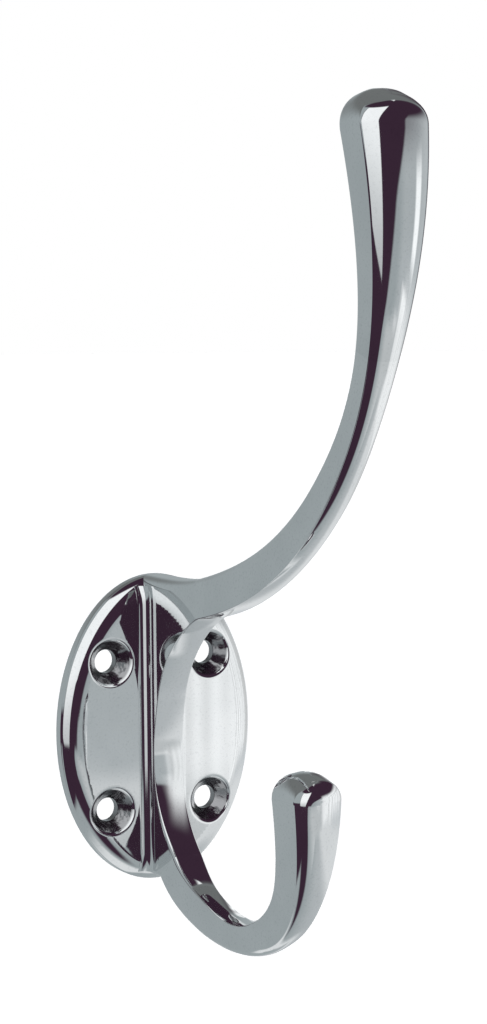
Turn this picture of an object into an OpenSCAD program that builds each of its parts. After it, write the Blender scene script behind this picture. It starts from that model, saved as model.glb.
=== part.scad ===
// Hat and coat hook: one polished casting with an oval screw plate, an upright spine,
// a tall hat arm above and a small coat hook below.
// Millimetres. X is across, Z is up, the wall is the plane Y = 0 and the hook stands out toward -Y.
// The origin is on the wall at the middle of the four screw holes.
// In the outlines below a point is written [forward, up], where forward is -Y.

/* [Backplate] */
// Width of the oval plate
plate_w = 34.7; // [32:0.1:44]
// Height of the oval plate
plate_h = 49.7; // [47:0.1:62]
// Height of the plate's middle above the middle of its screw holes
plate_rise = 0.6; // [0:0.1:1.2]
// Radius of the oval's two ends
plate_end_r = 12.1; // [10.5:0.1:14]
// Thickness at the middle of the cambered face
plate_crest = 3.6; // [3.2:0.1:5]
// Thickness where the cambered field meets the rounded rim
rim_top = 2.4; // [1.8:0.1:2.8]
// Height of the straight wall of the rim
rim_wall = 1.2; // [0.6:0.1:1.6]
// How far the rounded rim reaches inward
rim_in = 2.8; // [1.6:0.1:3.4]

/* [Screw holes] */
// Spacing of the holes across the plate
hole_dx = 18; // [17.4:0.2:21]
// Spacing of the holes up the plate
hole_dz = 24; // [20:0.5:27]
// Diameter of the clearance hole
hole_d = 3.8; // [3.2:0.1:4.6]
// Diameter of the countersink at the face
sink_d = 7.4; // [6.4:0.1:8]
// Depth of straight hole left behind the countersink
sink_land = 1.3; // [0.6:0.1:1.6]

/* [Spine] */
// Width of the spine between its flat flanks, and of both arms where they leave it
bar_w = 5.2; // [4.6:0.1:6]
// Fillet radius where the spine meets the plate
foot_r = 2.3; // [1:0.1:2.5]
// Height of the spine's top edge above the middle of the screw holes
spine_top = 25.4; // [24.5:0.1:29]
// Depth of the spine's lower end below the middle of the screw holes
spine_low = 22.9; // [21:0.1:25]
// Distance from the wall to the front strip where the spine is thinnest
strip_f = 5.4; // [4.8:0.1:8]
// Distance from the wall to the crotch's start under the hat arm
crotch_f = 19.6; // [18:0.2:24]

/* [Hat arm] */
// Distance from the wall to the middle of the tip
hat_reach = 67.3; // [55:0.1:85]
// Height of the top of the tip above the middle of the screw holes
hat_rise = 98.5; // [80:0.1:115]
// Thickness of the arm's flank at its root
hat_root_t = 6.2; // [5.5:0.1:7.5]
// Thickness of the flank along the lower arm
hat_low_t = 5.6; // [4:0.1:6.5]
// Thickness of the flank at the bend
hat_bend_t = 4.5; // [3:0.1:5.5]
// Thickness of the flank at the neck below the tip
hat_neck_t = 3.6; // [2.8:0.1:5]
// Thickness of the flank at the tip
hat_tip_t = 5.5; // [4:0.1:7]
// Width of the lower arm
hat_low_w = 3.8; // [3.4:0.1:6]
// Width of the arm at the bend
hat_bend_w = 3.9; // [3.4:0.1:6]
// Width of the neck below the tip
hat_neck_w = 5; // [4:0.1:7]
// Width of the tip
hat_tip_w = 11.2; // [8:0.1:13]
// Length of the rounded end of the tip
hat_end = 5.6; // [4:0.1:6.5]
// Bulge of the tip's front pad
hat_pad = 2.6; // [1:0.1:3.4]
// Bulge of the arm's front face at the bend
hat_crown = 0.6; // [0.2:0.1:1.2]

/* [Coat hook] */
// Distance from the wall to the middle of the tip
coat_reach = 46.8; // [42:0.1:58]
// Height of the tip's top, measured from the middle of the screw holes
coat_top = 0.8; // [-4:0.1:6]
// Depth of the bend's outside below the middle of the screw holes
coat_drop = 29.5; // [28:0.1:36]
// Thickness of the flank at the root
coat_root_t = 6.6; // [6:0.1:8]
// Thickness of the flank below the plate
coat_low_t = 5.6; // [4:0.1:6.5]
// Thickness of the flank at the bottom of the bend
coat_bend_t = 3.7; // [3.2:0.1:5]
// Thickness of the flank below the tip
coat_neck_t = 5.4; // [4:0.1:6.5]
// Thickness of the flank at the tip
coat_tip_t = 6.1; // [4:0.1:7]
// Width of the hook below the plate
coat_low_w = 3.9; // [3.4:0.1:6]
// Width at the bottom of the bend
coat_bend_w = 4.2; // [3.4:0.1:6]
// Width of the neck below the tip
coat_neck_w = 4.2; // [3.4:0.1:6]
// Width of the tip
coat_tip_w = 8.3; // [6:0.1:10]
// Length of the rounded end of the tip
coat_end = 4.3; // [3:0.1:5]
// Bulge of the tip's front pad
coat_pad = 2; // [0.8:0.1:2.6]
// Bulge of the bend's outer face
coat_crown = 1; // [0.2:0.1:1.4]

/* [Hidden] */
chrome = [0.78, 0.8, 0.81];
far = 200;
// Segments across each crowned face of an arm
SIDE = 8;
// Least bulge of a face, where an arm meets the spine
flat = 0.05;

// The oval is two end arcs and two side arcs that share their tangents.
end_z = plate_h / 2 - plate_end_r;
side_c = (pow(end_z, 2) - pow(plate_w / 2 - plate_end_r, 2)) / (plate_w - 2 * plate_end_r);
// Half the width of the flat land that carries the spine and its fillets
land_x = bar_w / 2 + foot_r + 0.1;
field_x = plate_w / 2 - rim_in;
camber_r = (pow(field_x, 2) + pow(plate_crest - rim_top, 2)) / (2 * (plate_crest - rim_top));
function camber(x) = plate_crest - camber_r + sqrt(pow(camber_r, 2) - pow(x, 2));
land_f = camber(land_x);
sink_slope = (sink_d - hole_d) / 2 / (camber(hole_dx / 2) - sink_land);

// Point and heading on a Bezier curve with any number of control points
function bezier(p, t) = len(p) == 1 ? p[0]
    : bezier([for (i = [0 : len(p) - 2]) p[i] * (1 - t) + p[i + 1] * t], t);
function heading(p, t) = let (d = bezier([for (i = [0 : len(p) - 2]) p[i + 1] - p[i]], t)) d / norm(d);
// Smooth value through evenly spaced stations of v, level at the first one
function eased(v, t) = let (n = len(v) - 1, k = min(floor(t * n), n - 1), u = t * n - k,
    b = v[k], c = v[k + 1], a = k == 0 ? c : v[k - 1], d = k == n - 1 ? 2 * c - b : v[k + 2])
    (2 * b + (c - a) * u + (2 * a - 5 * b + 4 * c - d) * u * u + (3 * b - a - 3 * c + d) * pow(u, 3)) / 2;
// Outer and inner edge of a flank at t: the outer side is on the right of the heading
function edge(p, t, thick) = let (h = heading(p, t)) bezier(p, t) + [h[1], -h[0]] * thick / 2;

// Hat arm centre line, from inside the spine to the middle of the tip's rounded end
hat_root = [12, spine_top - 3.4];
hat_to = [hat_reach, hat_rise - hat_end] - hat_root;
hat_line = [for (s = [[0, 0], [0.506, 0.069], [0.615, 0.179], [1.132, 0.394], [1, 1]])
    hat_root + [s[0] * hat_to[0], s[1] * hat_to[1]]];
// The arm leaves the spine where its underside is crotch_f from the wall.
hat_t0 = 1.1 * (crotch_f - hat_root[0] - 0.6) / (4 * (hat_line[1][0] - hat_root[0]));
hat_cut = 0.78;
function hat_law(v, t) = eased(v, (t - hat_t0) / (1 - hat_t0));
function hat_thick(t) = hat_law([hat_root_t, hat_low_t, hat_bend_t, hat_neck_t, hat_tip_t], t);
function hat_wide(t) = hat_law([bar_w, hat_low_w, hat_bend_w, hat_neck_w, hat_tip_w], t);
function hat_front(t) = hat_law([flat, hat_crown / 3, hat_crown, 2 * hat_crown, hat_pad], t);
function hat_back(t) = hat_law([flat, 0.3, 0.3, 0.3, 0.4], t);

// Coat hook centre line, down from the spine, round the bend and up into the tip
coat_root = [9.1, 2.2 - spine_low];
coat_span = coat_reach - coat_root[0];
coat_line = [coat_root,
    [coat_root[0] + 0.185 * coat_span, -coat_drop + 0.4],
    [coat_root[0] + 0.48 * coat_span, -coat_drop + 0.3],
    [coat_reach + 1, -coat_drop - 2.2],
    [coat_reach, coat_top - coat_end]];
coat_cut = 0.8;
function coat_thick(t) = eased([coat_root_t, coat_low_t, coat_bend_t, coat_neck_t, coat_tip_t], t);
function coat_wide(t) = eased([bar_w, coat_low_w, coat_bend_w, coat_neck_w, coat_tip_w], t);
function coat_front(t) = eased([flat, coat_crown / 3, coat_crown, coat_crown / 2, coat_pad], t);
function coat_back(t) = eased([flat, 0.3, 0.6, 0.5, 0.5], t);

// One cross-section of an arm: two flat flanks, a crowned front and a crowned back
function section(c, h, w, thick, front, back) = let (n = [h[1], -h[0]]) concat(
    [for (i = [0 : SIDE]) let (u = 1 - 2 * i / SIDE, p = c + n * (thick / 2 + front * (1 - u * u)))
        [u * w / 2, -p[0], p[1]]],
    [for (i = [0 : SIDE]) let (u = 2 * i / SIDE - 1, p = c - n * (thick / 2 + back * (1 - u * u)))
        [u * w / 2, -p[0], p[1]]]);

// Solid through a list of sections that all have the same number of points
module loft(rings) {
    n = len(rings[0]);
    m = len(rings);
    polyhedron(
        points = [for (r = rings) each r],
        faces = concat(
            [[for (i = [0 : n - 1]) i]],
            [for (k = [0 : m - 2]) for (i = [0 : n - 1]) let (j = (i + 1) % n)
                each [[k * n + i, (k + 1) * n + i, (k + 1) * n + j], [k * n + i, (k + 1) * n + j, k * n + j]]],
            [[for (i = [n - 1 : -1 : 0]) (m - 1) * n + i]]),
        convexity = 6);
}

function hat_ring(t) = section(bezier(hat_line, t), heading(hat_line, t), hat_wide(t), hat_thick(t),
    hat_front(t), hat_back(t));
function coat_ring(t) = section(bezier(coat_line, t), heading(coat_line, t), coat_wide(t),
    coat_thick(t), coat_front(t), coat_back(t));
// Rings that close a tip: width, thickness and bulge shrink along a quarter round
function end_rings(line, w, thick, front, back, length) = let (h = heading(line, 1))
    [for (a = [15, 30, 45, 60, 73, 84]) section(bezier(line, 1) + h * length * sin(a), h, w * cos(a),
        thick * pow(cos(a), 0.6), front * cos(a), back * cos(a))];

// Outline of the oval, moved inward by inset
function arc_points(c, r, a, b, n) = [for (i = [0 : n - 1]) let (q = a + (b - a) * i / n)
    [c[0] + r * cos(q), c[1] + r * sin(q)]];
function oval(inset) = let (q = atan2(end_z, side_c)) concat(
    arc_points([-side_c, plate_rise], side_c + plate_w / 2 - inset, -q, q, 16),
    arc_points([0, plate_rise + end_z], plate_end_r - inset, q, 180 - q, 24),
    arc_points([side_c, plate_rise], side_c + plate_w / 2 - inset, 180 - q, 180 + q, 16),
    arc_points([0, plate_rise - end_z], plate_end_r - inset, 180 + q, 360 - q, 24));

module stand_up() {
    rotate([90, 0, 0]) children();
}

module backplate() {
    color(chrome) difference() {
        stand_up() union() {
            hull() for (p = [[0, 0.01], [0.2, rim_wall], for (q = [25, 45, 65])
                [0.4 + (rim_in - 0.4) * (1 - cos(q)), rim_wall + (rim_top - rim_wall) * sin(q)],
                [rim_in, rim_top]]) linear_extrude(p[1]) polygon(oval(p[0]));
            intersection() {
                linear_extrude(land_f) polygon(oval(rim_in));
                translate([0, far / 2, plate_crest - camber_r])
                    rotate([90, 0, 0]) cylinder(r = camber_r, h = far, $fn = 360);
            }
            intersection() {
                linear_extrude(land_f) polygon(oval(0.2));
                translate([-land_x, -far / 2, 0]) cube([2 * land_x, far, land_f]);
            }
        }
        for (x = [-1, 1], z = [-1, 1]) translate([x * hole_dx / 2, 0, z * hole_dz / 2]) stand_up() {
            translate([0, 0, -1]) cylinder(d = hole_d, h = plate_crest + 2, $fn = 64);
            translate([0, 0, sink_land]) cylinder(d1 = hole_d, d2 = hole_d + 2 * sink_slope * plate_crest,
                h = plate_crest, $fn = 64);
        }
    }
}

// Outline of the spine seen from the side, cut square where each arm starts
module spine_side() {
    hat_low = edge(hat_line, hat_t0, hat_thick(hat_t0));
    hat_up = edge(hat_line, hat_t0, -hat_thick(hat_t0));
    coat_out = edge(coat_line, 0, coat_root_t);
    coat_in = edge(coat_line, 0, -coat_root_t);
    join = [strip_f + 1.5, 6.1];
    crotch = [hat_low, [crotch_f - 4.7, hat_low[1] - 2], [strip_f + 3, 13], join];
    strip = [join, [strip_f - 0.8, -2], [strip_f - 1.2, -11.5], coat_in];
    polygon(concat(
        [[land_f, spine_top], [land_f + 2.5, spine_top]],
        [for (i = [1 : 8]) bezier([[land_f + 2.5, spine_top], [12, spine_top - 0.1], hat_up], i / 8)],
        [for (i = [0 : 12]) bezier(crotch, i / 12)],
        [for (i = [1 : 16]) bezier(strip, i / 16)],
        [coat_out, [land_f, -spine_low]]));
}

module spine() {
    foot_end = plate_h / 2 * sqrt(1 - pow(land_x / (plate_w / 2), 2)) - 0.4;
    foot_top = plate_rise + foot_end;
    foot_low = min(spine_low, foot_end - plate_rise);
    color(chrome) union() {
        rotate([90, 0, -90]) translate([0, 0, -bar_w / 2]) linear_extrude(bar_w) spine_side();
        for (s = [-1, 1]) translate([s * bar_w / 2, -land_f, -foot_low]) difference() {
            translate([s < 0 ? -foot_r : 0, -foot_r, 0]) cube([foot_r, foot_r, foot_low + foot_top]);
            translate([s * foot_r, -foot_r, -1]) cylinder(r = foot_r, h = foot_low + foot_top + 2, $fn = 72);
        }
    }
}

module hat_arm() {
    color(chrome) loft([for (i = [0 : 26]) hat_ring(hat_t0 + (hat_cut - hat_t0) * i / 26)]);
}

module hat_arm_tip() {
    color(chrome) loft(concat(
        [for (i = [0 : 12]) hat_ring(hat_cut + (1 - hat_cut) * i / 12)],
        end_rings(hat_line, hat_tip_w, hat_tip_t, hat_pad, hat_back(1), hat_end)));
}

module coat_hook() {
    color(chrome) loft([for (i = [0 : 26]) coat_ring(coat_cut * i / 26)]);
}

module coat_hook_tip() {
    color(chrome) loft(concat(
        [for (i = [0 : 8]) coat_ring(coat_cut + (1 - coat_cut) * i / 8)],
        end_rings(coat_line, coat_tip_w, coat_tip_t, coat_pad, coat_back(1), coat_end)));
}

backplate();
spine();
hat_arm();
hat_arm_tip();
coat_hook();
coat_hook_tip();
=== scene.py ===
# A cast and chromed hat and coat hook: an oval screw plate with an upright web, a tall hat arm
# that ends in a crowned pad, and a small coat hook turned up below it.
import bmesh
import bpy
from math import asin, cos, degrees, pi, radians, sin, sqrt
from mathutils import Matrix, Vector


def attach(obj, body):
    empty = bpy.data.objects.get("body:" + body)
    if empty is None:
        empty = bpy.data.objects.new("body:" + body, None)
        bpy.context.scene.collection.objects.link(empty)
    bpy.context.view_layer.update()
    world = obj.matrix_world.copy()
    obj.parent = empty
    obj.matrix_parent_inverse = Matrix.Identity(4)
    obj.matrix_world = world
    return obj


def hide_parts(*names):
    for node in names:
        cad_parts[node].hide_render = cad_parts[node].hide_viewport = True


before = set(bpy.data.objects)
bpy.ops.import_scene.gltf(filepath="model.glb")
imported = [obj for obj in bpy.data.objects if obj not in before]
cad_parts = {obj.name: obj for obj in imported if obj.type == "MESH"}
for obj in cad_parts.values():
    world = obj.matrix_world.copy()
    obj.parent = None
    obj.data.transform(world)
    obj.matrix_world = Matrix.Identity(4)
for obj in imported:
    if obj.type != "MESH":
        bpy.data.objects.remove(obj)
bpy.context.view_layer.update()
MM = 0.001

# Camera: a long lens a little above the plate, to the hook's left and in front of it.
# It looks 31 degrees round from the front, so that the left flanks and the front faces both show.
LENS_MM = 87.89
SENSOR_MM = 36.0
CAMERA_AZIMUTH = radians(-31)
CAMERA_ELEVATION = radians(5.6)
CAMERA_ROLL = radians(-0.47)
CAMERA_DISTANCE = 386.7
CAMERA_TARGET = Vector((5.06, -21.13, 36.72))

back = Vector((sin(CAMERA_AZIMUTH) * cos(CAMERA_ELEVATION),
               -cos(CAMERA_AZIMUTH) * cos(CAMERA_ELEVATION), sin(CAMERA_ELEVATION)))
right = Vector((cos(CAMERA_AZIMUTH), sin(CAMERA_AZIMUTH), 0))
turn = Matrix((right, back.cross(right), back)).transposed() @ Matrix.Rotation(CAMERA_ROLL, 3, "Z")
camera_data = bpy.data.cameras.new("camera")
camera_data.lens = LENS_MM
camera_data.sensor_width = SENSOR_MM
camera_data.clip_start = 0.01
camera_data.clip_end = 20
camera = bpy.data.objects.new("camera", camera_data)
bpy.context.scene.collection.objects.link(camera)
camera_place = (CAMERA_TARGET + CAMERA_DISTANCE * back) * MM
camera.matrix_world = Matrix.Translation(camera_place) @ turn.to_4x4()
bpy.context.scene.camera = camera
bpy.context.scene.view_settings.view_transform = "Standard"


# The oval backplate is cast with the rest and lies flat on the wall. Its edge is a low upright
# wall, a crisp arris and a rolled rim, and its face is cambered and drilled for four screws.
PLATE_HALF_W = 17.35
PLATE_HALF_H = 24.85
PLATE_RISE = 0.6
PLATE_WALL = 1.7
PLATE_CREST = 3.6
FIELD_EDGE = 3.35
RIM_IN = 3.4
RIM_STEEP = radians(60)
RIM_FLAT = radians(2)
HOLE_X = 9.0
HOLE_Z = 12.0
HOLE_R = 1.9
SINK_R = 3.7
SINK_LAND = 1.3
LIP = 0.45


def spaced(start, end, count):
    """Evenly spaced values from start to end, both included."""
    return [start + (end - start) * k / count for k in range(count + 1)]


def camber(x):
    """Height of the plate's cambered face above the wall at x."""
    half = PLATE_HALF_W - RIM_IN
    bulge = PLATE_CREST - FIELD_EDGE
    radius = (half ** 2 + bulge ** 2) / (2 * bulge)
    return PLATE_CREST - radius + sqrt(radius ** 2 - min(abs(x), half + 1) ** 2)


def loop_of(bm, points):
    """A closed loop of new vertices and edges through points, in millimetres."""
    verts = [bm.verts.new(Vector(p) * MM) for p in points]
    edges = [bm.edges.new((a, b)) for a, b in zip(verts, verts[1:] + verts[:1])]
    return verts, edges


def extrude_ring(bm, verts, edges, points):
    """Extrudes a loop or an open line and moves its new vertices to points, in the same order."""
    made = bmesh.ops.extrude_edge_only(bm, edges=edges)["geom"]
    fresh = {v for v in made if isinstance(v, bmesh.types.BMVert)}
    order = [next(e.other_vert(v) for e in v.link_edges if e.other_vert(v) in fresh) for v in verts]
    for v, p in zip(order, points):
        v.co = Vector(p) * MM
    new_edges = [bm.edges.get((a, b)) for a, b in zip(order, order[1:] + order[:1])]
    return order, new_edges


def sweep(bm, rings):
    """A skin through rings that have the same number of points. Gives its two open ends."""
    verts, edges = loop_of(bm, rings[0])
    first = list(edges)
    for points in rings[1:]:
        verts, edges = extrude_ring(bm, verts, edges, points)
    return first, edges


def mesh_object(name, bm, sharp=60):
    """The finished bmesh as a smooth object with its sharpest creases kept."""
    bmesh.ops.recalc_face_normals(bm, faces=bm.faces)
    for face in bm.faces:
        face.smooth = True
    for edge in bm.edges:
        edge.smooth = len(edge.link_faces) != 2 or edge.calc_face_angle(0) < radians(sharp)
    mesh = bpy.data.meshes.new(name)
    bm.to_mesh(mesh)
    bm.free()
    obj = bpy.data.objects.new(name, mesh)
    bpy.context.scene.collection.objects.link(obj)
    return obj


class Value:
    """A shader value whose sums and products add Math nodes to its tree."""

    def __init__(self, tree, socket):
        self.tree = tree
        self.socket = socket

    def node(self, kind, inputs=(), output=0, **settings):
        """Adds a node, with its settings made first and then its inputs by name or number."""
        made = self.tree.nodes.new(kind)
        for key, value in settings.items():
            if key == "stops":
                ramp = made.color_ramp
                while len(ramp.elements) < len(value):
                    ramp.elements.new(0.5)
                for element, (place, tone) in zip(ramp.elements, value):
                    element.position = place
                    element.color = tone
            else:
                setattr(made, key, value)
        for key, value in dict(inputs).items():
            if isinstance(value, Value):
                self.tree.links.new(value.socket, made.inputs[key])
            else:
                made.inputs[key].default_value = value
        return Value(self.tree, made.outputs[output])

    def math(self, operation, *values):
        """A Math node on any mix of values and numbers."""
        return self.node("ShaderNodeMath", enumerate(values), operation=operation)

    def __add__(self, other): return self.math("ADD", self, other)
    def __radd__(self, other): return self.math("ADD", other, self)
    def __sub__(self, other): return self.math("SUBTRACT", self, other)
    def __rsub__(self, other): return self.math("SUBTRACT", other, self)
    def __mul__(self, other): return self.math("MULTIPLY", self, other)
    def __rmul__(self, other): return self.math("MULTIPLY", other, self)

    def step(self, low, high):
        """0 below low and 1 above high, smooth between."""
        return self.node("ShaderNodeMapRange", {0: self, 1: low, 2: high},
                         interpolation_type="SMOOTHSTEP")

    def between(self, low_from, low_to, high_from, high_to):
        """1 from low_to to high_from and 0 outside the other two, smooth between."""
        return self.step(low_from, low_to) * (1 - self.step(high_from, high_to))

    def blend(self, low, high):
        """A colour that is low where this mask is 0 and high where it is 1."""
        return self.node("ShaderNodeMix", {0: self, 6: low, 7: high}, output=2, data_type="RGBA")


def right_out_up(place, scale=1 / MM):
    """How far a place is to the right, out from the wall and up, in millimetres."""
    x, y, z = (place.node("ShaderNodeSeparateXYZ", {0: place}, output=axis) for axis in (0, 1, 2))
    return x * scale, y * -scale, z * scale


def distance(a, b):
    """Length of a line from two of its measures at right angles."""
    return a.math("SQRT", a * a + b * b)


CHROME_DEEP = (0.78, 0.795, 0.8, 1)
CHROME_PALE = (0.86, 0.87, 0.875, 1)
GRAIN_TONE = (0.6, 0.61, 0.62, 1)
DULL_AND_SHADE_TONE = (0.36, 0.36, 0.37, 1)
CLOUD_SCALE, SWELL_SCALE, PITS_SCALE, GRAIN_SCALE = 90, 140, 520, 2600
HAZE, GRAIN_HAZE, DULL_HAZE = 0.03, 0.02, 0.12
RIPPLE, GRAIN_DEPTH, PITS_DEPTH = 0.05, 0.004, 3.5
GRAIN_SHARE = 0.35


def chrome(name, seed, dull_and_shade=None):
    """Bright chrome plate over polished metal, with faint haze, wipe marks and cast ripple.

    The optional last argument makes a mask from the place on the piece, where the plating is thin
    and less bright and where its colour is also darkened as painted shade.
    """
    material = bpy.data.materials.new(name)
    material.use_nodes = True
    tree = material.node_tree
    shader = tree.nodes["Principled BSDF"]
    start = Value(tree, None)
    place = start.node("ShaderNodeTexCoord", output="Object")
    own_place = (seed, seed * 0.7, -seed)
    shifted = start.node("ShaderNodeMapping", {"Vector": place, "Location": own_place})

    def noise(scale, detail):
        inputs = {"Vector": shifted, "Scale": scale, "Detail": detail}
        return start.node("ShaderNodeTexNoise", inputs)

    cloud, grain, swell = noise(CLOUD_SCALE, 3), noise(GRAIN_SCALE, 2), noise(SWELL_SCALE, 1)
    stops = ((0.3, CHROME_DEEP), (0.7, CHROME_PALE))
    tone = start.node("ShaderNodeValToRGB", {0: cloud}, stops=stops)
    tone = (grain.step(0.5, 0.8) * GRAIN_SHARE).blend(tone, GRAIN_TONE)
    rough = HAZE + cloud.step(0.45, 0.75) * HAZE + grain * GRAIN_HAZE
    height = swell * RIPPLE + grain * GRAIN_DEPTH
    if dull_and_shade:
        mask = dull_and_shade(place)
        # painted shade: the mask darkens the base colour in the recesses, beside the real hazier,
        # pitted plating
        tone = mask.blend(tone, DULL_AND_SHADE_TONE)
        rough = rough + mask * DULL_HAZE
        height = height + noise(PITS_SCALE, 2) * mask * PITS_DEPTH
    bump = start.node("ShaderNodeBump", {"Height": height, "Strength": 0.25, "Distance": 0.0002})
    tree.links.new(tone.socket, shader.inputs["Base Color"])
    shader.inputs["Metallic"].default_value = 1
    tree.links.new(rough.socket, shader.inputs["Roughness"])
    tree.links.new(bump.socket, shader.inputs["Normal"])
    return material


def dress(piece, material, node):
    """Gives a piece its finish, hangs it under the root body and hides the CAD solid that it stands
    in for.
    """
    piece.data.materials.append(material)
    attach(piece, "root")
    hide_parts(node)


def oval(inset, height, count=240):
    """Points of the plate's outline, moved in by inset, at a height above the wall."""
    points = []
    for k in range(count):
        a = 2 * pi * k / count
        x, z = PLATE_HALF_W * cos(a), PLATE_HALF_H * sin(a)
        normal = Vector((x / PLATE_HALF_W ** 2, z / PLATE_HALF_H ** 2)).normalized()
        points.append((x - normal[0] * inset, -height, PLATE_RISE + z - normal[1] * inset))
    return points


def inset_at(x, z):
    """Distance of a point in from the plate's edge."""
    wide, tall = x / PLATE_HALF_W, (z - PLATE_RISE) / PLATE_HALF_H
    reach = max(sqrt(wide ** 2 + tall ** 2), 0.05)
    slope = sqrt((wide / PLATE_HALF_W) ** 2 + (tall / PLATE_HALF_H) ** 2 + 1e-9)
    return (1 - reach) * reach / slope


def rim_share(inset):
    """How far the rolled rim has risen toward the face, at a distance in from the plate's edge."""
    share = max(0, min(1, inset / RIM_IN))
    a = asin(sin(RIM_STEEP) + (sin(RIM_FLAT) - sin(RIM_STEEP)) * share)
    return (cos(a) - cos(RIM_STEEP)) / (cos(RIM_FLAT) - cos(RIM_STEEP))


def face_height(x, z):
    """Height of the plate's face above the wall."""
    return PLATE_WALL + (camber(x) - PLATE_WALL) * rim_share(inset_at(x, z))


def screw_ring(x, z, radius, height, count=96):
    """A circle round one screw's axis, at a height above the wall or on the plate's face."""
    circle = []
    for k in range(count):
        a = 2 * pi * k / count
        px, pz = x + radius * cos(a), z + radius * sin(a)
        circle.append((px, -(height(px, pz) if callable(height) else height), pz))
    return circle


def slice_up(bm, faces, axis, low, high, pitch):
    """Cuts flat faces into strips of one pitch across an axis, halving as it goes."""
    steps = round((high - low) / pitch)
    if steps <= 1 or not faces:
        return faces
    middle = low + pitch * (steps // 2)
    normal = Vector((1, 0, 0)) if axis == 0 else Vector((0, 0, 1))
    edges = {e for f in faces for e in f.edges}
    verts = {v for f in faces for v in f.verts}
    cut = bmesh.ops.bisect_plane(bm, geom=list({*faces, *edges, *verts}), dist=1e-8,
                                 plane_co=normal * middle * MM, plane_no=normal)
    parts = [g for g in cut["geom"] if isinstance(g, bmesh.types.BMFace)]
    below = [f for f in parts if f.calc_center_median()[axis] < middle * MM]
    above = [f for f in parts if f.calc_center_median()[axis] >= middle * MM]
    return (slice_up(bm, below, axis, low, middle, pitch)
            + slice_up(bm, above, axis, middle, high, pitch))


def in_sink(place):
    """Mask of the plate's four countersinks, which no polishing wheel reaches, and where painted
    shade darkens the colour.
    """
    x, out, z = right_out_up(place)
    away = distance(place.math("ABSOLUTE", x) - HOLE_X, place.math("ABSOLUTE", z) - HOLE_Z)
    return (1 - away.step(SINK_R - 0.3, SINK_R)) * out.step(0.02, 0.06)


# rings of the plate's edge as (inset, height), from its back up to the arris below the rim
BACK_EDGE = ((0.3, 0), (0.06, 0.06))
SIDE_FROM, SIDE_TO, SIDE_STEPS = 0.25, PLATE_WALL - 0.12, 4
ARRIS = ((0.02, PLATE_WALL - 0.04), (0.07, PLATE_WALL))
RIM_RINGS, RIM_PITCH, RIM_FROM = 14, 0.1, 0.02
LIP_TURN, LIP_RINGS = radians(42), 8
SINK_SHARES = (0.03, 0.2, 0.4, 0.6, 0.8, 0.97, 1)
BORE_HEIGHTS = (SINK_LAND - 0.05, SINK_LAND * 0.5, 0.05, 0)
FACE_X, FACE_Z, FACE_PITCH = (-18, 18), (-25, 27), 0.5

bm = bmesh.new()
side_rings = [(0, height) for height in spaced(SIDE_FROM, SIDE_TO, SIDE_STEPS)]
rings = [oval(inset, height) for inset, height in (*BACK_EDGE, *side_rings, *ARRIS)]
for k in range(1, RIM_RINGS + 1):
    edge = oval(RIM_PITCH * k + RIM_FROM, 0)
    rings.append([(x, -face_height(x, z), z) for x, _, z in edge])
foot, outer = sweep(bm, rings)
back_edges = list(foot)
face_edges = list(outer)
for cx in (-HOLE_X, HOLE_X):
    for cz in (-HOLE_Z, HOLE_Z):
        verts, edges = loop_of(bm, screw_ring(cx, cz, SINK_R + LIP, face_height))
        face_edges += edges
        for k in range(1, LIP_RINGS + 1):
            a = LIP_TURN * k / LIP_RINGS
            radius = SINK_R + LIP * (1 - sin(a) / sin(LIP_TURN))
            drop = LIP * (1 - cos(a)) / sin(LIP_TURN)
            lip = [(x, y + drop, z) for x, y, z in screw_ring(cx, cz, radius, face_height)]
            verts, edges = extrude_ring(bm, verts, edges, lip)
        for share in SINK_SHARES:
            shrink = (SINK_R + (HOLE_R - SINK_R) * share) / SINK_R
            cone = [(cx + (x - cx) * shrink, y + (-SINK_LAND - y) * share, cz + (z - cz) * shrink)
                    for x, y, z in lip]
            verts, edges = extrude_ring(bm, verts, edges, cone)
        for height in BORE_HEIGHTS:
            verts, edges = extrude_ring(bm, verts, edges, screw_ring(cx, cz, HOLE_R, height))
        back_edges += edges
# the face is filled flat, cut into small squares and then laid on its camber
for v in {v for e in face_edges for v in e.verts}:
    v.co.y = -PLATE_CREST * MM
sheet = bmesh.ops.triangle_fill(bm, use_beauty=True, use_dissolve=False, edges=face_edges)["geom"]
sheet = [g for g in sheet if isinstance(g, bmesh.types.BMFace)]
sheet = slice_up(bm, sheet, 0, *FACE_X, FACE_PITCH)
sheet = slice_up(bm, sheet, 2, *FACE_Z, FACE_PITCH)
for v in {v for f in sheet for v in f.verts}:
    v.co.y = -face_height(v.co.x / MM, v.co.z / MM) * MM
bmesh.ops.triangle_fill(bm, use_beauty=True, use_dissolve=False, edges=back_edges)
plate = mesh_object("backplate_casting", bm, 50)


def face_normal(x, z, step=0.02):
    """Direction that the plate's cambered face and rolled rim really point in."""
    slope_x = (face_height(x + step, z) - face_height(x - step, z)) / (2 * step)
    slope_z = (face_height(x, z + step) - face_height(x, z - step)) / (2 * step)
    return Vector((-slope_x, -1, -slope_z)).normalized()


# the flat back keeps flat shading and the face takes the true slope of its camber and rim
normals = [(0, 0, 0)] * len(plate.data.loops)
for polygon in plate.data.polygons:
    for loop, index in zip(polygon.loop_indices, polygon.vertices):
        x, y, z = plate.data.vertices[index].co / MM
        off_hole = sqrt((abs(x) - HOLE_X) ** 2 + (abs(z) - HOLE_Z) ** 2) - SINK_R - LIP
        clear = min(off_hole, inset_at(x, z) - 0.15)
        if polygon.normal.y > 0.99:
            normals[loop] = (0, 1, 0)
        elif clear > 0.01 and abs(-y - face_height(x, z)) < 0.002:
            normals[loop] = face_normal(x, z)
plate.data.normals_split_custom_set(normals)
dress(plate, chrome("plate_chrome", 1.3, dull_and_shade=in_sink), "backplate")


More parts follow.
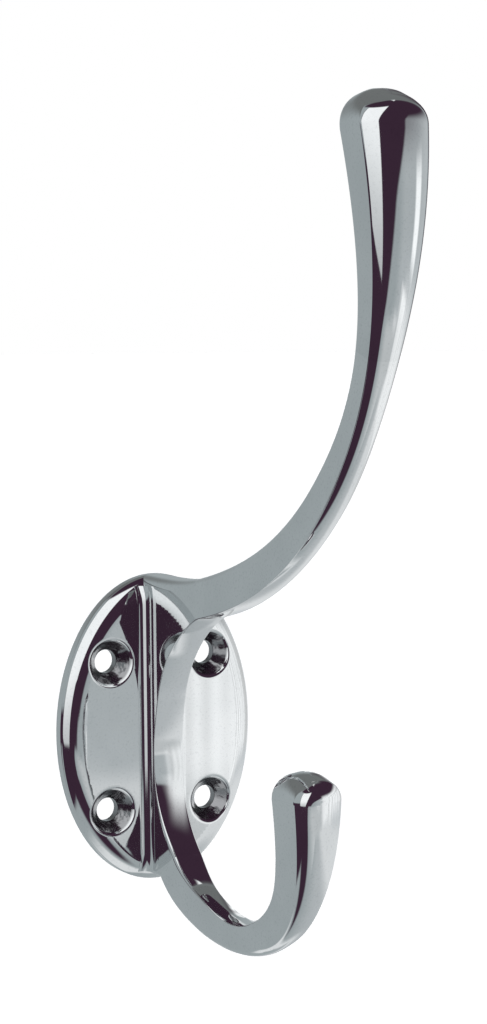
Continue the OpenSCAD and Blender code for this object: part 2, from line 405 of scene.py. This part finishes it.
# The web stands upright on the plate and carries both arms. It is cast flat-sided, with a hollow
# fillet down each side where it leaves the plate, and its narrow front is ground to a soft crown.
BAR_W = 5.2
FOOT_R = 1.7
FOOT_FROM, FOOT_TO = -22.5, 23.9
FOOT_IN = 0.3
FOOT_BED = 0.4
SPINE_TOP = 25.4
SPINE_LOW = 22.9
STRIP_F = 5.4
STRIP_CROWN = 0.16
CROTCH_F = 19.6
HAT_ROOT_F, HAT_ROOT_DROP = 12, 3.4
HAT_REACH = 67.3
HAT_RISE = 98.5
HAT_END = 5.6
HAT_SWEEP = ((0, 0), (0.506, 0.069), (0.615, 0.179), (1.132, 0.394), (1, 1))
COAT_ROOT_F, COAT_ROOT_RISE = 9.1, 2.2
COAT_REACH = 46.8
COAT_TOP = 0.8
COAT_DROP = 29.5
COAT_END = 4.3


def bezier(points, t):
    """Point on a Bezier curve with any number of control points."""
    while len(points) > 1:
        points = [a.lerp(b, t) for a, b in zip(points, points[1:])]
    return points[0]


def heading(points, t):
    """Unit direction of travel along a Bezier curve."""
    return bezier([b - a for a, b in zip(points, points[1:])], t).normalized()


def eased(stations, t):
    """Smooth value through evenly spaced stations, level at the first one."""
    last = len(stations) - 1
    k = min(int(t * last), last - 1)
    u = t * last - k
    b, c = stations[k], stations[k + 1]
    a = c if k == 0 else stations[k - 1]
    d = 2 * c - b if k == last - 1 else stations[k + 2]
    square, cube = 2 * a - 5 * b + 4 * c - d, 3 * b - a - 3 * c + d
    return (2 * b + (c - a) * u + square * u ** 2 + cube * u ** 3) / 2


def smooth(share):
    """A share held between 0 and 1 and eased at both ends."""
    share = max(0, min(1, share))
    return share * share * (3 - 2 * share)


hat_root = Vector((HAT_ROOT_F, SPINE_TOP - HAT_ROOT_DROP))
hat_to = Vector((HAT_REACH, HAT_RISE - HAT_END)) - hat_root
hat_line = [hat_root + Vector((a * hat_to[0], b * hat_to[1])) for a, b in HAT_SWEEP]
# share of the hat arm's line at which it leaves the web
hat_t0 = 1.1 * (CROTCH_F - hat_root[0] - 0.6) / (4 * (hat_line[1][0] - hat_root[0]))
coat_root = Vector((COAT_ROOT_F, COAT_ROOT_RISE - SPINE_LOW))
coat_span = COAT_REACH - coat_root[0]
coat_line = [coat_root,
             Vector((coat_root[0] + 0.185 * coat_span, -COAT_DROP + 0.4)),
             Vector((coat_root[0] + 0.48 * coat_span, -COAT_DROP + 0.3)),
             Vector((COAT_REACH + 1, -COAT_DROP - 2.2)),
             Vector((COAT_REACH, COAT_TOP - COAT_END))]


def outward(direction):
    """The front or outer side of an arm is on the right of its heading."""
    return Vector((direction[1], -direction[0]))


NO_BULGE = 0.02


def arc(half, bulge, start, end, count):
    """Points across a crowned face, from share start to share end of its half width."""
    shares = spaced(start, end, count)
    if bulge < NO_BULGE:
        return [(half * share, 0) for share in shares]
    radius = (half ** 2 + bulge ** 2) / (2 * bulge)
    limit = asin(min(1, half / radius))
    return [(radius * sin(limit * share), radius * cos(limit * share) - radius + bulge)
            for share in shares]


def corner(a, tip, b, count=6):
    """Points of a rounded corner between a and b, without its two ends."""
    return [tuple(a[i] * (1 - t) ** 2 + 2 * tip[i] * t * (1 - t) + b[i] * t ** 2 for i in (0, 1))
            for t in (k / count for k in range(1, count))]


FRONT_POINTS, BACK_POINTS = 32, 20
FLANK_EASE = 0.12


def section(width, thick, front, back, front_r, back_r, ridge=0):
    """Half-rounded bar: crowned front, flat flank, crowned back and flat flank, corners eased."""
    half, deep = width / 2, thick / 2
    front_to, back_to = 1 - front_r / half, 1 - back_r / half
    across = [(x + ridge * (1 - (x / half) ** 2), deep + n)
              for x, n in arc(half, front, front_to, -front_to, FRONT_POINTS)]
    under = [(x, -deep - n) for x, n in arc(half, back, -back_to, back_to, BACK_POINTS)]
    top, low = deep - front_r, -deep + back_r
    flat = [top + (low - top) * share for share in (0.3, 0.5, 0.7)]
    down = [top, top - FLANK_EASE, *flat, low + FLANK_EASE, low]
    left = [(-half, n) for n in down]
    right = [(half, n) for n in reversed(down)]
    return [*across, *corner(across[-1], (-half, deep), left[0]),
            *left, *corner(left[-1], (-half, -deep), under[0]),
            *under, *corner(under[-1], (half, -deep), right[0]),
            *right, *corner(right[-1], (half, deep), across[0])]


def ring(centre, side, shape):
    """A section set across the line at centre, with its front toward side, in the row frame."""
    return [(x, -(centre[0] + side[0] * n), centre[1] + side[1] * n) for x, n in shape]


# width, thickness, bulge of the front and bulge of the back at even stations along each arm
FLAT = 0.05
HAT_LAWS = ((BAR_W, 3.8, 3.9, 5.0, 11.2), (6.2, 5.6, 4.5, 3.6, 5.5),
            (FLAT, 0.2, 0.6, 1.2, 2.6), (FLAT, 0.3, 0.3, 0.3, 0.4))
HAT_TOP_R = (1.5, 0.9, 0.5, 0.5, 0.9)
COAT_LAWS = ((BAR_W, 3.9, 4.2, 4.2, 8.3), (6.6, 5.6, 3.7, 5.4, 6.1),
             (FLAT, 0.33, 1.0, 0.5, 2.0), (FLAT, 0.3, 0.6, 0.5, 0.5))
HAT_THICK_0, COAT_THICK_0 = HAT_LAWS[1][0], COAT_LAWS[1][0]
COAT_RIDGE = -0.9
GROUND_FROM, GROUND_OVER = 0.62, 0.12
CRISP = 0.16
SOFT = 1.0
EASED_EDGE = 0.6
EASED_OVER = 0.3


def hat_ring(t):
    """Section of the hat arm at share t of its line."""
    share = (t - hat_t0) / (1 - hat_t0)
    values = [eased(law, share) for law in HAT_LAWS]
    shape = section(*values, CRISP, eased(HAT_TOP_R, share))
    return ring(bezier(hat_line, t), outward(heading(hat_line, t)), shape)


def coat_ring(t):
    """Section of the coat hook at share t of its line."""
    values = [eased(law, t) for law in COAT_LAWS]
    ground = max(0, min(1, (t - GROUND_FROM) / GROUND_OVER))
    outer_r = SOFT + (CRISP - SOFT) * smooth(ground)
    inner_r = CRISP + (EASED_EDGE - CRISP) * smooth(1 - t / EASED_OVER)
    shape = section(*values, outer_r, inner_r, COAT_RIDGE * ground)
    return ring(bezier(coat_line, t), outward(heading(coat_line, t)), shape)


def closed_sweep(bm, rings):
    """A skin through rings, with one flat face over each end."""
    for edges in sweep(bm, rings):
        bmesh.ops.holes_fill(bm, edges=edges)


# the web is a fan of sections from the coat hook's root, up the front strip and round the crotch
hat_side = outward(heading(hat_line, hat_t0))
coat_side = outward(heading(coat_line, 0))
hat_low = bezier(hat_line, hat_t0) + hat_side * HAT_THICK_0 / 2
hat_up = bezier(hat_line, hat_t0) - hat_side * HAT_THICK_0 / 2
coat_out = coat_line[0] + coat_side * COAT_THICK_0 / 2
coat_in = coat_line[0] - coat_side * COAT_THICK_0 / 2
join = Vector((STRIP_F + 1.5, 6.1))
crotch = [join, Vector((STRIP_F + 3, 13)), Vector((CROTCH_F - 4.7, hat_low[1] - 2)), hat_low]
strip = [coat_in, Vector((STRIP_F - 1.2, -11.5)), Vector((STRIP_F - 0.8, -2)), join]
BEDDED = 1.0
low_from = Vector((BEDDED, -SPINE_LOW))
top_from = Vector((PLATE_WALL, SPINE_TOP))
top_curve = [top_from, Vector((7.5, SPINE_TOP)), Vector((12, SPINE_TOP - 0.1)), hat_up]
STRIP_RINGS, CROTCH_RINGS, FOOT_RINGS, WALL_RINGS, EASED_RINGS = 60, 40, 8, 52, 30
FAN_RINGS = STRIP_RINGS + CROTCH_RINGS
web_rings = []
for k in range(FAN_RINGS + 1):
    if k < STRIP_RINGS:
        fore = bezier(strip, k / STRIP_RINGS)
    else:
        fore = bezier(crotch, (k - STRIP_RINGS) / CROTCH_RINGS)
    if k <= FOOT_RINGS:
        rear = coat_out.lerp(low_from, k / FOOT_RINGS)
    elif k <= WALL_RINGS:
        rear = low_from.lerp(top_from, (k - FOOT_RINGS) / (WALL_RINGS - FOOT_RINGS))
    else:
        rear = bezier(top_curve, (k - WALL_RINGS) / (FAN_RINGS - WALL_RINGS))
    crown = FLAT + STRIP_CROWN * sin(pi * (k / FAN_RINGS))
    fore_r = CRISP + (EASED_EDGE - CRISP) * smooth(1 - k / EASED_RINGS)
    rear_r = SOFT if k <= FOOT_RINGS else HAT_TOP_R[0]
    deep = fore - rear
    shape = section(BAR_W, deep.length, crown, FLAT, fore_r, rear_r)
    web_rings.append(ring((fore + rear) / 2, deep.normalized(), shape))
bm = bmesh.new()
closed_sweep(bm, web_rings)

# the hollow fillets at the web's foot follow the plate's face from end to end
FILLET_RINGS, FILLET_POINTS = 48, 16
for side in (-1, 1):
    profiles = []
    for z in spaced(FOOT_FROM, FOOT_TO, FILLET_RINGS):
        low = face_height(BAR_W / 2 + FOOT_R / 2, z)
        inner, outer = side * (BAR_W / 2 - FOOT_IN), side * (BAR_W / 2 + FOOT_R)
        hollow = [(side * (BAR_W / 2 + FOOT_R - FOOT_R * cos(a)), low + FOOT_R - FOOT_R * sin(a))
                  for a in spaced(0, pi / 2, FILLET_POINTS)]
        points = [(inner, low + FOOT_R), *hollow, (outer, low - FOOT_BED), (inner, low - FOOT_BED)]
        profiles.append([(x, -f, z) for x, f in points])
    closed_sweep(bm, profiles)
dress(mesh_object("web_casting", bm, 40), chrome("web_chrome", 2.1), "spine")


# The hat arm leaves the web flat-sided, sweeps forward and then up, and thins to a neck. It is cast
# in one with the web, and its front face is ground to a crown with a crisp edge down each side.
HAT_CUT = 0.78
HAT_ARM_RINGS = 120
bm = bmesh.new()
closed_sweep(bm, [hat_ring(t) for t in spaced(hat_t0, HAT_CUT, HAT_ARM_RINGS)])
dress(mesh_object("hat_arm_casting", bm), chrome("hat_arm_chrome", 3.7), "hat_arm")


# The tip of the hat arm flares to a long pad that a hat rests on. The pad is ground to a deep crown
# and a band as thick as the arm runs round its end.
HAT_FALL, HAT_REAR_FALL = 1.35, 0.3
ARCH = 2.3
HAT_TIP_RINGS = 40
END_RINGS = 40


def end_rings(line, start, laws, length, front_fall, rear_fall, front_r, back_r, ridge=0):
    """Rings that close a tip: its side band runs over the end and its faces die away there."""
    centre, direction = bezier(line, 1), heading(line, 1)
    side = outward(direction)
    span = (line[-1] - line[-2]).length * (len(line) - 1) * (1 - start)
    slopes = [(law[-1] - law[-2]) * (len(law) - 1) / span for law in laws]
    rings = []
    for k in range(1, END_RINGS + 1):
        a = pi / 2 * (k / END_RINGS)
        narrow = max(cos(a), 1e-4) ** (2 / ARCH)
        along = sin(a) ** (2 / ARCH)
        fade = max(1 - along ** 3, 0)
        gone = length * along * (1 - along) ** 2
        wide, thick, front, back = [law[-1] + slope * gone for law, slope in zip(laws, slopes)]
        wide *= narrow
        shape = section(max(wide, 0.01), thick, max(front * fade, 0.004), max(back * fade, 0.003),
                        min(front_r, wide * 0.25), min(back_r, wide * 0.3), ridge * narrow)
        points = []
        for x, n in shape:
            q = max(-1.0, min(1.0, 2 * n / thick))
            fall = front_fall * q ** 2 if q > 0 else rear_fall * q ** 4
            p = centre + side * n + direction * (length - fall) * along
            points.append((x, -p[0], p[1]))
        rings.append(points)
    return rings


bm = bmesh.new()
closed_sweep(bm, [hat_ring(t) for t in spaced(HAT_CUT, 1, HAT_TIP_RINGS)]
             + end_rings(hat_line, hat_t0, HAT_LAWS, HAT_END, HAT_FALL, HAT_REAR_FALL,
                         CRISP, HAT_TOP_R[-1]))
dress(mesh_object("hat_tip_casting", bm), chrome("hat_tip_chrome", 4.9), "hat_arm_tip")


# The coat hook leaves the web's lower end, bends forward and turns up. Its inside keeps the crisp
# strip of the web, and its outside is rounded over so that cloth slides on.
COAT_CUT = 0.8
COAT_HOOK_RINGS = 110
bm = bmesh.new()
closed_sweep(bm, [coat_ring(t) for t in spaced(0, COAT_CUT, COAT_HOOK_RINGS)])
dress(mesh_object("coat_hook_casting", bm), chrome("coat_hook_chrome", 6.1), "coat_hook")


# The tip of the coat hook flares to a short crowned pad that faces the room. It is ground flush
# with the bend below it and finished with the same rounded end as the hat arm.
COAT_FALL, COAT_REAR_FALL = 0.95, 0.65
COAT_TIP_RINGS = 30
bm = bmesh.new()
closed_sweep(bm, [coat_ring(t) for t in spaced(COAT_CUT, 1, COAT_TIP_RINGS)]
             + end_rings(coat_line, 0, COAT_LAWS, COAT_END, COAT_FALL, COAT_REAR_FALL,
                         CRISP, CRISP, COAT_RIDGE))
dress(mesh_object("coat_tip_casting", bm), chrome("coat_tip_chrome", 7.3), "coat_hook_tip")


# The studio: a pale floor, two white cards, a soft lamp overhead and walls of light and shade all
# round, which the chrome mirrors. The camera itself sees only white and the hook's shadow.
FLOOR_Z = -75
FLOOR_R = 4.0
WHITE = (1.15, 1.17, 1.18, 1)
LIGHT = (0.62, 0.65, 0.67, 1)
GREY = (0.362, 0.402, 0.415, 1)
SHADE = (0.17, 0.18, 0.18, 1)
DARK = (0.045, 0.023, 0.041, 1)
PLAIN_WHITE = (1, 1, 1, 1)
PAPER = (0.8, 0.8, 0.8, 1)
PAPER_LIFT = 0.55
POOL_LEFT = (0.66, 0.69, 0.7, 1)
POOL_FAR = (0.57, 0.595, 0.605, 1)
FLOOR_RIGHT = (0.5, 0.53, 0.545, 1)
FLOOR_PALE = (0.76, 0.78, 0.79, 1)
UNDER_RIM = (0.8, 0.82, 0.83, 1)
WALL_RIGHT = (0.47, 0.505, 0.52, 1)
WALL_REAR = (0.53, 0.565, 0.58, 1)
LEFT_CARD_FOOT = (0.5, 0.52, 0.53, 1)
LEFT_CARD_HEAD = (1.05, 1.07, 1.08, 1)


def blank_nodes(owner):
    """Empties a material's or a world's nodes and gives the value that new ones start from."""
    owner.use_nodes = True
    owner.node_tree.nodes.clear()
    return Value(owner.node_tree, None)


def mix(start, mask, shader, other):
    """One shader where the mask is 0 and the other where it is 1."""
    return start.node("ShaderNodeMixShader", {0: mask, 1: shader, 2: other})


def show(shader, kind="ShaderNodeOutputMaterial"):
    """Makes a shader the surface of its material or its world."""
    shader.tree.links.new(shader.socket, shader.tree.nodes.new(kind).inputs["Surface"])


def azimuth(x, out):
    """Degrees round from straight out of the wall toward the right."""
    return x.math("ARCTAN2", x, out) * degrees(1)


bm = bmesh.new()
bmesh.ops.create_circle(bm, cap_ends=True, segments=64, radius=FLOOR_R)
bmesh.ops.translate(bm, vec=(0, 0, FLOOR_Z * MM), verts=bm.verts)
floor = mesh_object("floor", bm)
if floor.data.polygons[0].normal.z < 0:
    floor.data.flip_normals()
floor_material = bpy.data.materials.new("pale_floor")
start = blank_nodes(floor_material)
x, f, _ = right_out_up(start.node("ShaderNodeTexCoord", output="Object"))
reach, turned = distance(x, f), azimuth(x, f)
# painted shade that the chrome mirrors: a dark field in front and to the left
past = x + f.step(60, 270) * 95
away = start.math("MAXIMUM", (f + x * 0.5).step(28, 48), (1 - x.step(-95, -80)) * f.step(0, 20))
dark = (1 - past.step(-8, 8)) * away
# painted light that the chrome mirrors: a bright pool in front and to the right, with a dimmer
# patch far out in it
far = 300 + turned.step(28.5, 32) * 150
bright = (f - x.step(20, 45) * 70).step(92, 128) * past.step(0, 95)
bright = bright * (1 - (reach - far).step(-30, 30)) * (1 - turned.step(58, 66))
pool = turned.step(20, 36).blend(POOL_LEFT, WHITE)
pool = (reach.step(140, 215) * (1 - turned.step(31, 44))).blend(pool, POOL_FAR)
# painted light that the chrome mirrors: grey near the hook, paler to the right and in a patch that
# the plate's lower rim mirrors
near = x.step(0, 70).blend(GREY, FLOOR_RIGHT)
near = x.step(68, 110).blend(near, FLOOR_PALE)
under_rim = (1 - (f + x * 0.3).step(20, 34)) * x.between(-60, -20, 38, 54) * f.step(-52, -30)
off_hook = start.math("MAXIMUM", (f - x.step(-10, 10) * 20).step(-16, -6), x.step(36, 42))
near = (under_rim * off_hook).blend(near, UNDER_RIM)
rightward = turned.step(58, 66) * reach.step(180, 260)
tone = rightward.blend(near, LIGHT)
tone = bright.blend(tone, pool)
tone = dark.blend(tone, DARK)
# the floor glows with this painted light and shade only for mirrored rays; the camera sees plain
# paper
glow = start.node("ShaderNodeEmission", {"Color": tone, "Strength": 1})
clear = start.node("ShaderNodeBsdfTransparent")
mirrored = mix(start, (reach - far).step(0, 60), glow, clear)
pale = start.node("ShaderNodeBsdfDiffuse", {"Color": PAPER})
lift = start.node("ShaderNodeEmission", {"Color": PLAIN_WHITE, "Strength": PAPER_LIFT})
paper = start.node("ShaderNodeAddShader", {0: pale, 1: lift})
seen = start.node("ShaderNodeLightPath", output="Is Camera Ray")
behind = start.node("ShaderNodeNewGeometry", output="Backfacing")
show(mix(start, behind, mix(start, seen, mirrored, paper), clear))
floor.data.materials.append(floor_material)

CARD_STRENGTH = 0.82
CARD_BAND_SCALE = 0.045


def white_card(name, near, far, unevenness, shown):
    """A glowing white card between two lines of places, a light that is mirrored but not seen, and
    clear off its mask.
    """
    bm = bmesh.new()
    verts = [bm.verts.new(Vector(p) * MM) for p in near]
    edges = [bm.edges.new(pair) for pair in zip(verts, verts[1:])]
    extrude_ring(bm, verts, edges, far)
    card = mesh_object(name, bm)
    if card.data.polygons[0].normal.z > 0.5:
        card.data.flip_normals()
    material = bpy.data.materials.new(name)
    start = blank_nodes(material)
    x, out, z = right_out_up(start.node("ShaderNodeTexCoord", output="Object"))
    along = {"W": x * CARD_BAND_SCALE, "Detail": 0}
    band = start.node("ShaderNodeTexNoise", along, noise_dimensions="1D")
    strength = CARD_STRENGTH + (band - 0.5) * unevenness
    glow = start.node("ShaderNodeEmission", {"Color": WHITE, "Strength": strength})
    clear = start.node("ShaderNodeBsdfTransparent")
    show(mix(start, shown(x, out, z), clear, glow))
    card.data.materials.append(material)
    card.visible_camera = False
    card.visible_diffuse = False
    card.visible_shadow = False


def right_shown(x, out, z):
    """The right card's mask, soft at its near edge, its foot and its top."""
    return azimuth(x, out).step(25, 31.5) * z.between(-50, -32, 10, 58)


def level_shown(x, out, z):
    """The level card's mask, white below and clear above, and soft on all four sides."""
    # rise is how steeply the web's front strip, which mirrors the card, looks up at each place
    off_strip = out - STRIP_F
    rise = x.math("ARCTAN2", LEVEL_OVER_STRIP, distance(x, off_strip)) * degrees(1)
    across = azimuth(x, off_strip).between(22.6, 34.6, 39.7, 49.8)
    below = 1 - x.node("ShaderNodeNewGeometry", output="Backfacing")
    return below * across * rise.between(-2, 6, 12, 34)


# one card stands to the right, and one lies level and low, in front and to the right; both glow as
# lights that only the chrome mirrors
RIGHT_FOOT, RIGHT_TOP = -52, 60
RIGHT_LINE = ((64, 136), (76, 129), (132, 70), (150, 10), (148, -60), (110, -130))
white_card("right_card", [(x, -f, RIGHT_FOOT) for x, f in RIGHT_LINE],
           [(x, -f, RIGHT_TOP) for x, f in RIGHT_LINE], 0.62, right_shown)
LEVEL_Z, LEVEL_OVER_STRIP = 8, 17
LEVEL_FROM, LEVEL_TO = 24, 900
LEVEL_WAYS = [(sin(a), cos(a)) for a in spaced(radians(20), radians(50), 6)]
level_near = [(LEVEL_FROM * s, -STRIP_F - LEVEL_FROM * c, LEVEL_Z) for s, c in LEVEL_WAYS]
level_far = [(LEVEL_TO * s, -STRIP_F - LEVEL_TO * c, LEVEL_Z) for s, c in LEVEL_WAYS]
white_card("level_card", level_near, level_far, 0, level_shown)

# the lamp is broad and overhead, throws the hook's soft shadow and isn't mirrored
LAMP_SPREAD = radians(50)
LAMP_STRENGTH = 1.3
LAMP_TILT = (radians(-24), radians(-12), 0)
lamp_data = bpy.data.lights.new("overhead_softbox", "SUN")
lamp_data.angle = LAMP_SPREAD
lamp_data.energy = LAMP_STRENGTH
lamp = bpy.data.objects.new("overhead_softbox", lamp_data)
lamp.rotation_euler = LAMP_TILT
lamp.visible_glossy = False
bpy.context.scene.collection.objects.link(lamp)

world = bpy.data.worlds.new("studio")
bpy.context.scene.world = world
start = blank_nodes(world)
x, f, z = right_out_up(start.node("ShaderNodeTexCoord", output="Generated"), 1)
turned = azimuth(x, f)
high = start.math("ARCSINE", z) * degrees(1)
# dark in front and overhead, open to grey walls at the right, the left and the rear
right_wall = (turned - high * 0.85 - high.step(-4, 20) * 22).step(2, 9) * (1 - high.step(2, 24))
left_open = start.math("MAXIMUM", high.step(-2, 3), 1 - turned.step(-140, -132))
left_wall = (1 - turned.step(-70, -64)) * left_open
rear_wall = turned.between(112, 118, 120, 124) + turned.step(140, 146)
rearward = 1 - turned.between(-110, -100, 105, 120)
wall = turned.step(5, 32).blend(GREY, WALL_RIGHT)
wall = turned.step(60, 100).blend(wall, WALL_REAR)
tone = (right_wall * (1 - turned.step(120, 124))).blend(DARK, wall)
tone = left_wall.blend(tone, GREY)
tone = rear_wall.blend(tone, GREY)
tone = (high.step(8, 38) * rearward).blend(tone, SHADE)
tone = (high.step(62, 70) * (f + 0.1).step(0, 0.1)).blend(tone, DARK)
# a bright window low at the right
window = turned.between(58, 66, 78, 86) * high.between(-16, -8, 0, 8)
tone = window.blend(tone, WHITE)
# a white card in front and to the left, with straight edges
card_side = (x * 0.75 + f * 0.455 - z * 0.308).step(-0.012, 0.012)
left_card = (1 - card_side) * (x * 0.407 + f * 0.914).step(-0.012, 0.012)
left_card = left_card * (z + f * 0.6 - 0.05).step(-0.01, 0.02) * (1 - z.step(0.88, 0.92))
shine = high.step(-24, 18).blend(LEFT_CARD_FOOT, LEFT_CARD_HEAD)
tone = left_card.blend(tone, shine)
seen = start.node("ShaderNodeLightPath", output="Is Camera Ray")
walls = start.node("ShaderNodeBackground", {"Color": tone, "Strength": 1})
white = start.node("ShaderNodeBackground", {"Color": PLAIN_WHITE, "Strength": 1})
show(mix(start, seen, walls, white), "ShaderNodeOutputWorld")
